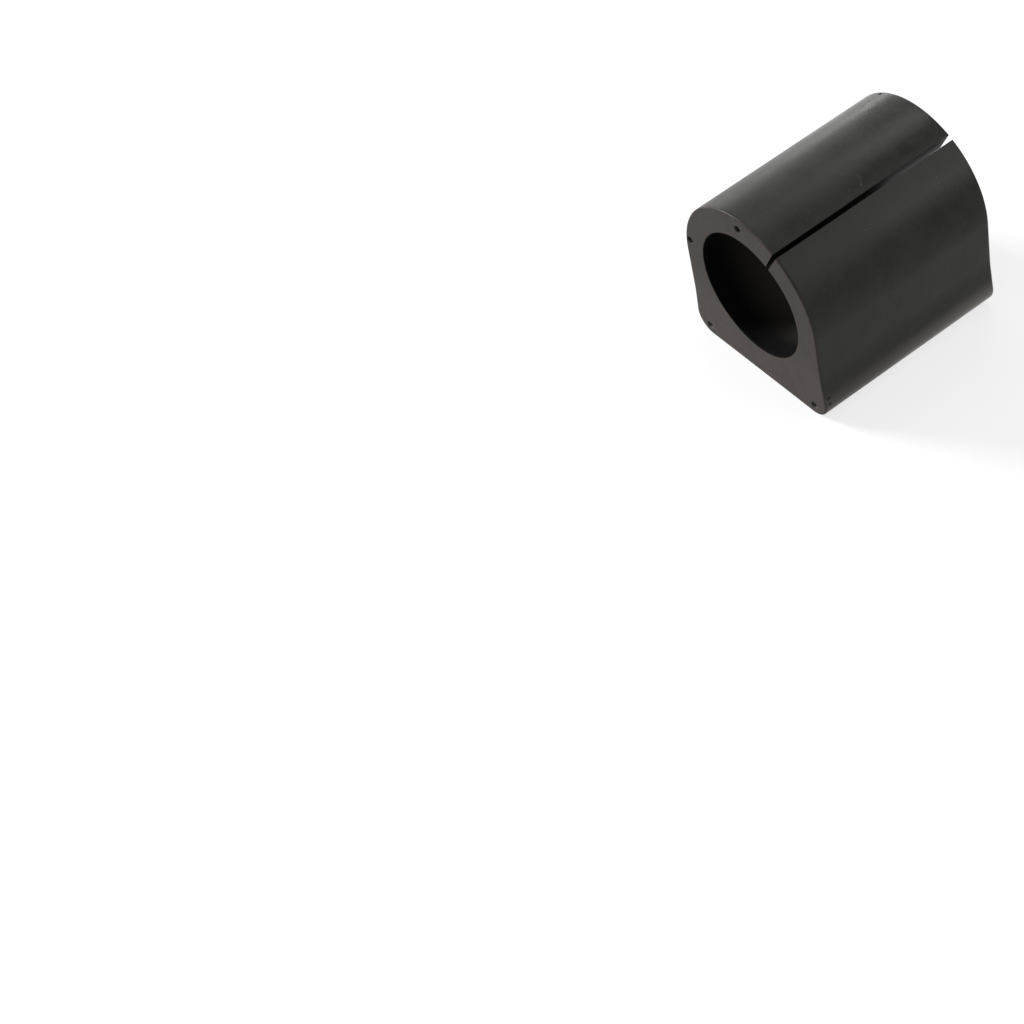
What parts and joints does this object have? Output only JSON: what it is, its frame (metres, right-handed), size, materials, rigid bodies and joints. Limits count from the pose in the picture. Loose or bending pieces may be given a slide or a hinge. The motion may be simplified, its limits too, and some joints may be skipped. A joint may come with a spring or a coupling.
{
  "type": "sway bar bushing",
  "caption": "D-shaped rubber bush with a round bore for a sway bar, a rounded crown for its bracket, a flat base and a slit through one wall.",
  "frame": {"origin": "centre of the bore, at half the length", "axes": "+Y along the bore from the dimpled front end to the back end, +Z from the flat base to the crown, and the slit is on the +X side of the crown"},
  "size_m": [0.0428, 0.0474, 0.0444],
  "materials": {
    "rubber": "satin"
  },
  "bodies": {
    "root": {"bushing": "rubber"}
  },
  "joints": []
}
